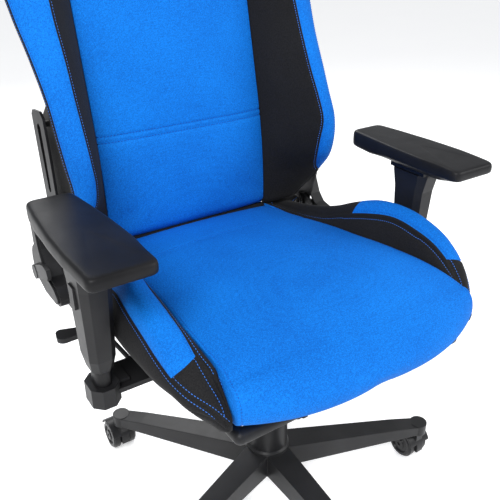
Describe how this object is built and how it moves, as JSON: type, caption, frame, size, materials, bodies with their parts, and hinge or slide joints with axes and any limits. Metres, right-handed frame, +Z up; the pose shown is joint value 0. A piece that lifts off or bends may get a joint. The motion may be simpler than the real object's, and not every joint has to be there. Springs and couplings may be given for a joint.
{
  "type": "gaming chair",
  "caption": "Racing-style swivel chair with bolstered blue and black fabric seat and reclining back, adjustable armrests, gas lift and five-legged caster base.",
  "frame": {"origin": "on the floor, on the gas spring's axis", "axes": "+Z up, the sitter faces -Y, +X is the sitter's left"},
  "size_m": [0.704, 0.778, 1.2897],
  "materials": {
    "base_plastic": "fine satin moulded nylon",
    "caster_plastic": "satin nylon",
    "wheel_plastic": "smooth nylon tread",
    "black_steel": "satin black powder coat",
    "bright_steel": "zinc plated",
    "chrome_steel": "ground and chromed",
    "arm_plastic": "satin moulded plastic",
    "arm_foam": "soft moulded polyurethane",
    "blue_fabric": "fine blue weave",
    "black_fabric": "fine black weave",
    "webbing": "elastic webbing"
  },
  "bodies": {
    "base": {"base_star": "base_plastic", "caster_stems": "bright_steel", "column_tube": "black_steel", "thrust_bearing": "bright_steel", "shroud_lower": "arm_plastic"},
    "rod": {"piston_rod": "chrome_steel"},
    "shroud_slider": {"shroud_middle": "arm_plastic"},
    "lift": {"gas_spring": "chrome_steel", "shroud_upper": "arm_plastic", "mech_housing": "black_steel", "tilt_pin": "bright_steel", "tension_spring": "bright_steel"},
    "valve": {"valve_pin": "bright_steel"},
    "rocker": {"lever_rocker": "bright_steel"},
    "lever": {"lift_lever": "black_steel"},
    "seat": {"mech_plate": "black_steel", "seat_frame": "black_steel", "seat_straps": "webbing", "seat_bolts": "bright_steel", "seat_cushion": "blue_fabric", "seat_bolster_left": "black_fabric", "seat_bolster_right": "black_fabric", "arm_bar_left": "black_steel", "arm_bar_right": "black_steel", "arm_collars": "arm_plastic", "recliner_plates": "bright_steel", "recliner_springs": "bright_steel", "recliner_covers": "arm_plastic"},
    "knob": {"tension_knob": "arm_plastic"},
    "release": {"recliner_rod": "bright_steel", "recline_lever": "arm_plastic"},
    "back": {"back_brackets": "black_steel", "back_frame": "black_steel", "back_cover": "black_fabric", "back_cushion": "blue_fabric", "back_bolster_left": "black_fabric", "back_bolster_right": "black_fabric"},
    "arm_left": {"arm_sleeve_left": "arm_plastic"},
    "arm_button_left": {"arm_button_left": "arm_plastic"},
    "arm_slide_left": {"arm_slide_left": "arm_plastic"},
    "arm_pad_left": {"arm_pad_left": "arm_foam"},
    "arm_right": {"arm_sleeve_right": "arm_plastic"},
    "arm_button_right": {"arm_button_right": "arm_plastic"},
    "arm_slide_right": {"arm_slide_right": "arm_plastic"},
    "arm_pad_right": {"arm_pad_right": "arm_foam"},
    "caster_1": {"caster_1_hood": "caster_plastic"},
    "caster_1_left": {"caster_1_wheel_left": "wheel_plastic"},
    "caster_1_right": {"caster_1_wheel_right": "wheel_plastic"},
    "caster_2": {"caster_2_hood": "caster_plastic"},
    "caster_2_left": {"caster_2_wheel_left": "wheel_plastic"},
    "caster_2_right": {"caster_2_wheel_right": "wheel_plastic"},
    "caster_3": {"caster_3_hood": "caster_plastic"},
    "caster_3_left": {"caster_3_wheel_left": "wheel_plastic"},
    "caster_3_right": {"caster_3_wheel_right": "wheel_plastic"},
    "caster_4": {"caster_4_hood": "caster_plastic"},
    "caster_4_left": {"caster_4_wheel_left": "wheel_plastic"},
    "caster_4_right": {"caster_4_wheel_right": "wheel_plastic"},
    "caster_5": {"caster_5_hood": "caster_plastic"},
    "caster_5_left": {"caster_5_wheel_left": "wheel_plastic"},
    "caster_5_right": {"caster_5_wheel_right": "wheel_plastic"}
  },
  "joints": [
    {"name": "seat_swivel", "type": "hinge", "parent": "base", "child": "rod", "pos_m": [0, 0, 0.08], "axis": [0, 0, 1], "continuous": true},
    {"name": "seat_lift", "type": "slide", "parent": "rod", "child": "lift", "axis": [0, 0, 1], "range_m": [0, 0.09]},
    {"name": "shroud_slide", "type": "slide", "parent": "rod", "child": "shroud_slider", "axis": [0, 0, 1], "range_m": [0, 0.046]},
    {"name": "seat_tilt", "type": "hinge", "parent": "lift", "child": "seat", "pos_m": [0, -0.055, 0.352], "axis": [-1, 0, 0], "range_deg": [0, 8], "stiffness_Nm_per_rad": 260, "springref_deg": -20.05, "deforming": ["tension_spring"]},
    {"name": "lever_lift", "type": "hinge", "parent": "lift", "child": "rocker", "pos_m": [-0.024, 0, 0.362], "axis": [0, 1, 0], "range_deg": [0, 5], "stiffness_Nm_per_rad": 3, "springref_deg": -5.73},
    {"name": "lever_pull", "type": "slide", "parent": "rocker", "child": "lever", "axis": [-1, 0, 0], "range_m": [0, 0.012]},
    {"name": "valve_press", "type": "slide", "parent": "lift", "child": "valve", "axis": [0, 0, -1], "range_m": [0, 0.0022]},
    {"name": "tension_turn", "type": "hinge", "parent": "seat", "child": "knob", "pos_m": [0, -0.082, 0.275], "axis": [0, 0, 1], "range_deg": [-720, 720]},
    {"name": "release_lever", "type": "hinge", "parent": "seat", "child": "release", "pos_m": [0, 0.268, 0.464], "axis": [-1, 0, 0], "range_deg": [0, 25], "stiffness_Nm_per_rad": 2, "springref_deg": -11.46},
    {"name": "recline", "type": "hinge", "parent": "seat", "child": "back", "pos_m": [0, 0.268, 0.464], "axis": [-1, 0, 0], "range_deg": [-5, 78]},
    {"name": "arm_height_left", "type": "slide", "parent": "seat", "child": "arm_left", "axis": [0, 0, 1], "range_m": [0, 0.07]},
    {"name": "arm_press_left", "type": "slide", "parent": "arm_left", "child": "arm_button_left", "axis": [-1, 0, 0], "range_m": [0, 0.004], "stiffness_N_per_m": 700, "springref_m": -0.003},
    {"name": "arm_turn_left", "type": "hinge", "parent": "arm_left", "child": "arm_slide_left", "pos_m": [0.306, -0.01, 0.612], "axis": [0, 0, 1], "range_deg": [-18, 8]},
    {"name": "arm_depth_left", "type": "slide", "parent": "arm_slide_left", "child": "arm_pad_left", "axis": [0, -1, 0], "range_m": [-0.01, 0.03]},
    {"name": "arm_height_right", "type": "slide", "parent": "seat", "child": "arm_right", "axis": [0, 0, 1], "range_m": [0, 0.07]},
    {"name": "arm_press_right", "type": "slide", "parent": "arm_right", "child": "arm_button_right", "axis": [1, 0, 0], "range_m": [0, 0.004], "stiffness_N_per_m": 700, "springref_m": -0.003},
    {"name": "arm_turn_right", "type": "hinge", "parent": "arm_right", "child": "arm_slide_right", "pos_m": [-0.306, -0.01, 0.612], "axis": [0, 0, 1], "range_deg": [-8, 18]},
    {"name": "arm_depth_right", "type": "slide", "parent": "arm_slide_right", "child": "arm_pad_right", "axis": [0, -1, 0], "range_m": [-0.01, 0.03]},
    {"name": "caster_1_swivel", "type": "hinge", "parent": "base", "child": "caster_1", "pos_m": [0, -0.322, 0.06], "axis": [0, 0, 1], "continuous": true},
    {"name": "caster_1_roll_left", "type": "hinge", "parent": "caster_1", "child": "caster_1_left", "pos_m": [0, -0.302, 0.03], "axis": [1, 0, 0], "continuous": true},
    {"name": "caster_1_roll_right", "type": "hinge", "parent": "caster_1", "child": "caster_1_right", "pos_m": [0, -0.302, 0.03], "axis": [1, 0, 0], "continuous": true},
    {"name": "caster_2_swivel", "type": "hinge", "parent": "base", "child": "caster_2", "pos_m": [0.30624, -0.0995, 0.06], "axis": [0, 0, 1], "continuous": true},
    {"name": "caster_2_roll_left", "type": "hinge", "parent": "caster_2", "child": "caster_2_left", "pos_m": [0.30624, -0.0795, 0.03], "axis": [1, 0, 0], "continuous": true},
    {"name": "caster_2_roll_right", "type": "hinge", "parent": "caster_2", "child": "caster_2_right", "pos_m": [0.30624, -0.0795, 0.03], "axis": [1, 0, 0], "continuous": true},
    {"name": "caster_3_swivel", "type": "hinge", "parent": "base", "child": "caster_3", "pos_m": [0.18927, 0.2605, 0.06], "axis": [0, 0, 1], "continuous": true},
    {"name": "caster_3_roll_left", "type": "hinge", "parent": "caster_3", "child": "caster_3_left", "pos_m": [0.18927, 0.2805, 0.03], "axis": [1, 0, 0], "continuous": true},
    {"name": "caster_3_roll_right", "type": "hinge", "parent": "caster_3", "child": "caster_3_right", "pos_m": [0.18927, 0.2805, 0.03], "axis": [1, 0, 0], "continuous": true},
    {"name": "caster_4_swivel", "type": "hinge", "parent": "base", "child": "caster_4", "pos_m": [-0.18927, 0.2605, 0.06], "axis": [0, 0, 1], "continuous": true},
    {"name": "caster_4_roll_left", "type": "hinge", "parent": "caster_4", "child": "caster_4_left", "pos_m": [-0.18927, 0.2805, 0.03], "axis": [1, 0, 0], "continuous": true},
    {"name": "caster_4_roll_right", "type": "hinge", "parent": "caster_4", "child": "caster_4_right", "pos_m": [-0.18927, 0.2805, 0.03], "axis": [1, 0, 0], "continuous": true},
    {"name": "caster_5_swivel", "type": "hinge", "parent": "base", "child": "caster_5", "pos_m": [-0.30624, -0.0995, 0.06], "axis": [0, 0, 1], "continuous": true},
    {"name": "caster_5_roll_left", "type": "hinge", "parent": "caster_5", "child": "caster_5_left", "pos_m": [-0.30624, -0.0795, 0.03], "axis": [1, 0, 0], "continuous": true},
    {"name": "caster_5_roll_right", "type": "hinge", "parent": "caster_5", "child": "caster_5_right", "pos_m": [-0.30624, -0.0795, 0.03], "axis": [1, 0, 0], "continuous": true}
  ],
  "couplings": [
    {"joint": "shroud_slide", "follows": "seat_lift", "ratio": 0.5},
    {"joint": "valve_press", "follows": "lever_lift", "m_per_rad": 0.024}
  ]
}
